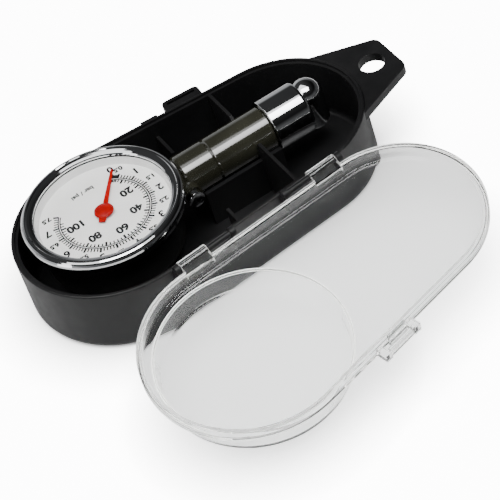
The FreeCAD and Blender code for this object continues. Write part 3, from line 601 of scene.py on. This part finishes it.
# ---- stage ----
FLOOR_SIZE = 3.0
FLOOR_DROP = 0.0001     # the paper lies this far under the case
GLOW_SEEN = 12.0        # keeps the paper near white where the camera sees it directly
GLOW_THROUGH = 0.7      # and a little less so through clear plastic
SHADOW_REACH = 0.02     # how far from the object the paper's glow is shaded
SHADOW_POWER = 2.5
PAPER_TONES = ((0.86, 0.86, 0.86), (0.88, 0.88, 0.88))
PAPER_ROUGHNESS = 0.7
OCCLUSION_SAMPLES = 8

# how bright the room is along each axis: first value, last value, and where the change starts and stops
ROOM_ALONG = {"Y": (0.20, 1.0, -0.90, -0.30), "X": (1.0, 0.12, 0.10, 0.80), "Z": (1.0, 0.08, 0.22, 0.46)}
ROOM_STRENGTH = 0.55
ROOM_THROUGH = 1.6      # added where the room is seen through clear plastic
ROOM_COLOR = (0.96, 0.98, 1.0, 1)

LIGHT_AIM = (0.03, -0.01, 0.0)
# softboxes: where each stands, its two sides, and its power in watts
SOFTBOXES = {
    "key": ((-0.02, -0.22, 0.77), (0.75, 0.36), 6.0),
    "ceiling": ((-0.02, -0.04, 0.85), (0.95, 0.58), 3.4),
    "side": ((-0.85, -0.05, 0.42), (0.30, 0.5), 1.2),
}


def floor():
    mat, tree, out = new_material("floor_paper")
    shader = tree.nodes.new("ShaderNodeBsdfPrincipled")
    tone = noise(tree, 6)
    link(tree, ramp(tree, tone, *PAPER_TONES), shader.inputs["Base Color"])
    shader.inputs["Roughness"].default_value = PAPER_ROUGHNESS
    path = tree.nodes.new("ShaderNodeLightPath")
    near = tree.nodes.new("ShaderNodeAmbientOcclusion")
    near.samples = OCCLUSION_SAMPLES
    near.inputs["Distance"].default_value = SHADOW_REACH
    soft = arithmetic(tree, "POWER", near.outputs["AO"], SHADOW_POWER)
    seen = times(tree, times(tree, path.outputs["Is Camera Ray"], GLOW_SEEN), soft)
    through = times(tree, seen_through(tree), GLOW_THROUGH)
    glow = tree.nodes.new("ShaderNodeEmission")
    link(tree, plus(tree, seen, through), glow.inputs["Strength"])
    both = tree.nodes.new("ShaderNodeAddShader")
    link(tree, shader.outputs["BSDF"], both.inputs[0])
    link(tree, glow.outputs["Emission"], both.inputs[1])
    link(tree, both.outputs["Shader"], out.inputs["Surface"])
    mesh = bpy.data.meshes.new("floor")
    half = FLOOR_SIZE / 2
    corners = [(x, y, -FLOOR_DROP) for x, y in ((-half, -half), (half, -half), (half, half), (-half, half))]
    mesh.from_pydata(corners, [], [(0, 1, 2, 3)])
    mesh.materials.append(mat)
    obj = bpy.data.objects.new("floor", mesh)
    bpy.context.scene.collection.objects.link(obj)


def softbox(name, location, size, power):
    data = bpy.data.lights.new(name, "AREA")
    data.shape = "RECTANGLE"
    data.size, data.size_y = size
    data.energy = power
    obj = bpy.data.objects.new(name, data)
    obj.location = location
    obj.rotation_mode = "QUATERNION"
    obj.rotation_quaternion = (Vector(LIGHT_AIM) - Vector(location)).to_track_quat("-Z", "Y")
    bpy.context.scene.collection.objects.link(obj)


def studio_world():
    """A dim room: dark behind the camera and beyond the tab, grey elsewhere, white through clear plastic."""
    world = bpy.data.worlds.new("studio")
    world.use_nodes = True
    tree = world.node_tree
    tree.nodes.clear()
    coord = tree.nodes.new("ShaderNodeTexCoord")
    split = tree.nodes.new("ShaderNodeSeparateXYZ")
    link(tree, coord.outputs["Generated"], split.inputs["Vector"])
    room = ROOM_STRENGTH
    for axis, (first, last, start, stop) in ROOM_ALONG.items():
        share = ranged(tree, split.outputs[axis], first, last, from_low=start, from_high=stop)
        room = times(tree, room, share)
    strength = plus(tree, room, times(tree, seen_through(tree), ROOM_THROUGH))
    background = tree.nodes.new("ShaderNodeBackground")
    background.inputs["Color"].default_value = ROOM_COLOR
    link(tree, strength, background.inputs["Strength"])
    out = tree.nodes.new("ShaderNodeOutputWorld")
    link(tree, background.outputs["Background"], out.inputs["Surface"])
    bpy.context.scene.world = world


def lights():
    for name, (location, size, power) in SOFTBOXES.items():
        softbox(name, location, size, power)
    studio_world()


CAMERA = {"azimuth": -17.495, "elevation": 44.0, "roll": -19.424, "distance": 0.7569, "lens": 185.0}
CAMERA_TARGET = Vector((0.03028, -0.01888, 0.0))
SENSOR_WIDTH = 36.0
CLIP = (0.01, 10.0)


def camera():
    az, el, roll = (math.radians(CAMERA[k]) for k in ("azimuth", "elevation", "roll"))
    back = Vector((math.sin(az) * math.cos(el), -math.cos(az) * math.cos(el), math.sin(el)))
    right = (-back).cross(Vector((0, 0, 1))).normalized()
    up = right.cross(-back)
    rolled_right = math.cos(roll) * right + math.sin(roll) * up
    rolled_up = -math.sin(roll) * right + math.cos(roll) * up
    data = bpy.data.cameras.new("camera")
    data.lens = CAMERA["lens"]
    data.sensor_width = SENSOR_WIDTH
    data.clip_start, data.clip_end = CLIP
    obj = bpy.data.objects.new("camera", data)
    bpy.context.scene.collection.objects.link(obj)
    axes = Matrix((rolled_right, rolled_up, back)).transposed().to_4x4()
    obj.matrix_world = Matrix.Translation(CAMERA_TARGET + back * CAMERA["distance"]) @ axes
    bpy.context.scene.camera = obj


def main():
    dress_nodes()
    ink = dial_ink()
    dial_scales(ink)
    dial_numerals(ink)
    lid_lip(clear_lip())
    springs(bright_steel())
    floor()
    lights()
    camera()


main()
